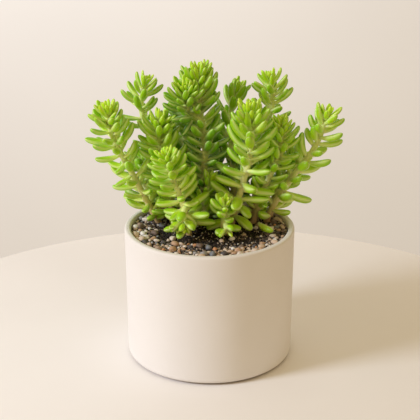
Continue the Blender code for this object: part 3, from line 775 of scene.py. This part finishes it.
def leaf_shell(leaf, seed):
    """A juicy leaf: nearly flat above, rounded below, with soft edges and a blunt point."""
    draw = random.Random(seed)
    across = leaf["along"].cross(leaf["out"])
    tone = draw.random()
    lean = draw.uniform(-0.12, 0.12)
    rings, along, edge = [], [], []
    for step in range(LEAF_RINGS + 1):
        share = 0.03 + 0.97 * math.sin(math.pi / 2 * step / LEAF_RINGS)
        centre, up = leaf_at(leaf, share)
        centre = centre + across * lean * leaf["length"] * share ** 2 * 0.3
        half = leaf["half"] * leaf_half_width(share)
        if step == LEAF_RINGS:
            rings.append([centre])
            along.append(1.0)
            edge.append(0.5)
            continue
        ring = []
        for side in range(LEAF_SIDES):
            turn = 2 * math.pi * side / LEAF_SIDES
            rise, reach = math.sin(turn), math.cos(turn)
            depth = 0.58 * rise ** 0.8 if rise > 0 else -0.95 * (-rise) ** 1.05
            groove = 0.10 * max(0.0, rise) ** 4 * (1 - share)
            ring.append(centre + across * half * reach + up * half * (depth - groove))
            along.append(share)
            edge.append(abs(reach) ** 3 * (0.6 + 0.4 * (rise >= -0.3)))
        rings.append(ring)
    points, faces = skin(rings)
    return points, faces, 0, {
        "along": along, "edge": edge, "tone": tone, "age": leaf["age"], "low": leaf["low"],
        "deep": leaf.get("deep", 0.0),
    }


def stem_shell(axis, foot):
    """A fleshy stem with slight, uneven swellings along it."""
    rings, low = [], []
    steps = round(axis.length / (1.3 * MM))
    for step in range(steps + 1):
        distance = axis.length * step / steps
        centre, along = axis.at(min(distance, axis.length - 0.01 * MM))
        radius = stem_radius(step / steps)
        if step < 3:
            radius *= (0.35, 0.7, 0.9)[step]
        ring = ring_across(centre, along, radius, STEM_SIDES)
        for point in ring:
            point += (point - centre) * 0.10 * noise.noise(point / (1.7 * MM))
        rings.append(ring)
        low.extend([step / steps * (1.0 if foot else 0.4)] * STEM_SIDES)
    if foot:
        entry, direction = foot
        rings[-1] = ring_across(entry, direction, stem_radius(1.0), STEM_SIDES)
        rings.append(ring_across(entry - direction * STEM_FOOT, direction, stem_radius(1.0), STEM_SIDES))
        low.extend([1.0] * STEM_SIDES)
    points, faces = skin(rings)
    return points, faces, 1, {"low": low}


leaf_green = Finish("sedum leaf", 0.36)
age = leaf_green.mark("age")
along = leaf_green.mark("along")
tone = leaf_green.mark("tone")
flesh = leaf_green.ramp(age, [
    (0.0, (0.60, 0.88, 0.036)), (0.45, (0.48, 0.80, 0.012)), (1.0, (0.39, 0.72, 0.008)),
])
flesh = leaf_green.blend(
    leaf_green.spread(leaf_green.grain(2.2 * MM, 3.0), 0.35, 0.70, 0.0, 0.45), flesh, (0.58, 0.78, 0.026),
)
flesh = leaf_green.blend(leaf_green.spread(tone, 0.0, 1.0, 0.0, 0.35), flesh, (0.60, 0.74, 0.016))
pale_low = leaf_green.spread(leaf_green.mark("low"), 0.45, 1.0, 0.0, 0.35)
flesh = leaf_green.blend(pale_low, flesh, (0.70, 0.78, 0.10))
# Painted shade: leaves of the rear and middle stems are darkened toward a deep green by their shade mark,
# standing in for the shade they sit in.
painted_shade_mask = leaf_green.spread(leaf_green.mark("deep"), 0.0, 1.0, 0.0, 0.85)
flesh = leaf_green.blend(painted_shade_mask, flesh, (0.07, 0.24, 0.010))
deep_end = leaf_green.times(
    leaf_green.spread(along, 0.45, 0.95, 0.0, 0.5), leaf_green.spread(age, 0.1, 0.8, 0.0, 1.0),
)
flesh = leaf_green.blend(deep_end, flesh, (0.17, 0.46, 0.006))
pale_root = leaf_green.spread(along, 0.08, 0.52, 0.8, 0.0)
flesh = leaf_green.blend(pale_root, flesh, (0.92, 0.95, 0.45))
# Pale leaf margins: partly the leaf's own paler margin, partly painted rim light where light shines through
# the thin edges.
pale_margin_and_rim_light = leaf_green.spread(leaf_green.mark("edge"), 0.25, 1.0, 0.0, 0.5)
flesh = leaf_green.blend(pale_margin_and_rim_light, flesh, (0.93, 0.97, 0.52))
browned = leaf_green.times(
    leaf_green.spread(along, 0.90, 1.0, 0.0, 0.4), leaf_green.spread(tone, 0.55, 0.9, 0.0, 1.0),
)
leaf_green.colour(leaf_green.blend(browned, flesh, (0.34, 0.40, 0.04)))
leaf_green.dullness(leaf_green.spread(leaf_green.grain(1.1 * MM, 3.0), 0.3, 0.7, 0.28, 0.46))
leaf_green.bump(leaf_green.grain(0.5 * MM, 3.0, 0.55), 0.05 * MM, 0.6)
leaf_green.shader.inputs["Subsurface Weight"].default_value = 0.6
leaf_green.shader.inputs["Subsurface Radius"].default_value = (0.85, 1.0, 0.25)
leaf_green.shader.inputs["Subsurface Scale"].default_value = 1.6 * MM
leaf_green.shader.inputs["Specular IOR Level"].default_value = 0.45

stem_green = Finish("sedum stem", 0.5)
low = stem_green.mark("low")
rind = stem_green.ramp(low, [
    (0.0, (0.70, 0.84, 0.24)), (0.50, (0.80, 0.84, 0.36)), (0.78, (0.76, 0.68, 0.32)),
    (1.0, (0.50, 0.30, 0.13)),
])
rind = stem_green.blend(
    stem_green.spread(stem_green.grain(1.2 * MM, 4.0, 0.6), 0.54, 0.78, 0.0, 0.4), rind, (0.56, 0.40, 0.17),
)
stem_green.colour(rind)
stem_green.dullness(stem_green.spread(stem_green.grain(1.5 * MM), 0.3, 0.7, 0.42, 0.65))
stem_green.bump(stem_green.grain(0.8 * MM, 4.0, 0.6), 0.18 * MM, 0.8)
stem_green.shader.inputs["Subsurface Weight"].default_value = 0.3
stem_green.shader.inputs["Subsurface Radius"].default_value = (0.7, 0.9, 0.25)
stem_green.shader.inputs["Subsurface Scale"].default_value = 2.0 * MM

MARKS = ("along", "edge", "tone", "age", "low", "deep")
shells = {}
for number, (name, axis, leaves) in enumerate(grow_stems()):
    foot = None if name in shells else foot_of(STEMS[name])
    shells.setdefault(name, []).append(stem_shell(axis, foot))
    for index, leaf in enumerate(leaves):
        # Painted shade: each leaf takes its stem's painted shade, more of it low down.
        shade = PAINTED_STEM_SHADE.get(name, (0.0, 0.0))
        leaf["deep"] = shade[0] + (shade[1] - shade[0]) * min(1.0, leaf["low"] * 1.6)
        shells[name].append(leaf_shell(leaf, 500 * number + index))
for name, parts in shells.items():
    shoot = piece_from(name + "_shoot", parts, [leaf_green.material, stem_green.material], MARKS)
    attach(shoot, "root")
    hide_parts(name)


# The fallen leaf. One leaf that has dropped off and lies on its side on the gravel at the
# front right, curved, still green, pressed flat where it touches the pebbles.
points, faces, finish, marks = leaf_shell(fallen_leaf(), 77)
for point in points:
    point.z = max(point.z, FALLEN_REST)
dropped = piece_from("dropped_leaf", [(points, faces, 0, marks)], [leaf_green.material], MARKS)
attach(dropped, "root")
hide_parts("fallen_leaf")


# The floor and the backdrop: a plain pale round floor and a plain wall a good way behind it.
FLOOR_CENTRE = (4 * MM, -38 * MM)
FLOOR_RADIUS = 258 * MM
WALL_BEHIND = 1.3
WALL_HALF_WIDTH = 2.5
WALL_HALF_HEIGHT = 1.6
plain = Finish("plain pale floor", 0.75)
plain.colour(plain.ramp(plain.grain(60 * MM, 2.0), [
    (0.3, (0.885, 0.868, 0.845)), (0.7, (0.90, 0.883, 0.86)),
]))
floor_rings = [around(FLOOR_RADIUS - 4 * MM, -30 * MM, 256), around(FLOOR_RADIUS, -26 * MM, 256)]
floor_rings += [around(FLOOR_RADIUS, -2 * MM, 256), around(FLOOR_RADIUS - 0.6 * MM, -0.6 * MM, 256)]
floor_rings += [around(FLOOR_RADIUS - 2 * MM, 0, 256)]
for ring in floor_rings:
    for point in ring:
        point.xy += Vector(FLOOR_CENTRE)
floor = piece_from("floor", [(*skin(floor_rings), 0, {})], [plain.material])
floor.data.set_sharp_from_angle(angle=math.radians(30))

wall_finish = Finish("plain wall", 0.9)
wall_finish.colour(wall_finish.ramp(wall_finish.grain(400 * MM, 3.0), [
    (0.3, (0.80, 0.82, 0.87)), (0.7, (0.83, 0.85, 0.90)),
]))
wall_corners = [
    (across * WALL_HALF_WIDTH, WALL_BEHIND, up * WALL_HALF_HEIGHT)
    for across, up in ((-1, -1), (1, -1), (1, 1), (-1, 1))
]
wall_mesh = bpy.data.meshes.new("backdrop")
wall_mesh.from_pydata(wall_corners, [], [(0, 1, 2, 3)])
wall_mesh.materials.append(wall_finish.material)
backdrop = bpy.data.objects.new("backdrop", wall_mesh)
bpy.context.scene.collection.objects.link(backdrop)

# The light: a large soft lamp from the left and a little in front, with warm light all round.
scene = bpy.context.scene
world = bpy.data.worlds.new("soft room")
world.use_nodes = True
world.node_tree.nodes["Background"].inputs["Color"].default_value = (1.0, 0.77, 0.46, 1.0)
world.node_tree.nodes["Background"].inputs["Strength"].default_value = 0.59
scene.world = world


def soft_lamp(name, place, aim, size, power, colour):
    lamp = bpy.data.lights.new(name, "AREA")
    lamp.shape = "DISK"
    lamp.size = size
    lamp.energy = power
    lamp.color = colour
    thing = bpy.data.objects.new(name, lamp)
    thing.location = place
    thing.rotation_mode = "QUATERNION"
    thing.rotation_quaternion = (Vector(aim) - Vector(place)).to_track_quat("-Z", "Y")
    scene.collection.objects.link(thing)


soft_lamp("key_light", (-1.83, -0.76, 1.15), (0.0, 0.0, 0.08), 0.6, 33.5, (0.94, 1.0, 1.16))
soft_lamp("wall_light", (-0.3, 0.55, 0.65), (-0.1, 1.3, 0.25), 0.4, 4.3, (1.0, 0.96, 0.92))

# The camera, at the height, distance and tilt that the pot's rim and foot give.
camera_lens = bpy.data.cameras.new("camera")
camera_lens.sensor_width = 36.0
camera_lens.lens = 97.46
camera = bpy.data.objects.new("camera", camera_lens)
camera.location = (0.0003, -0.686, 0.3559)
camera.rotation_euler = (math.radians(69.43), 0.0, 0.0)
scene.collection.objects.link(camera)
scene.camera = camera
scene.view_settings.view_transform = "Standard"
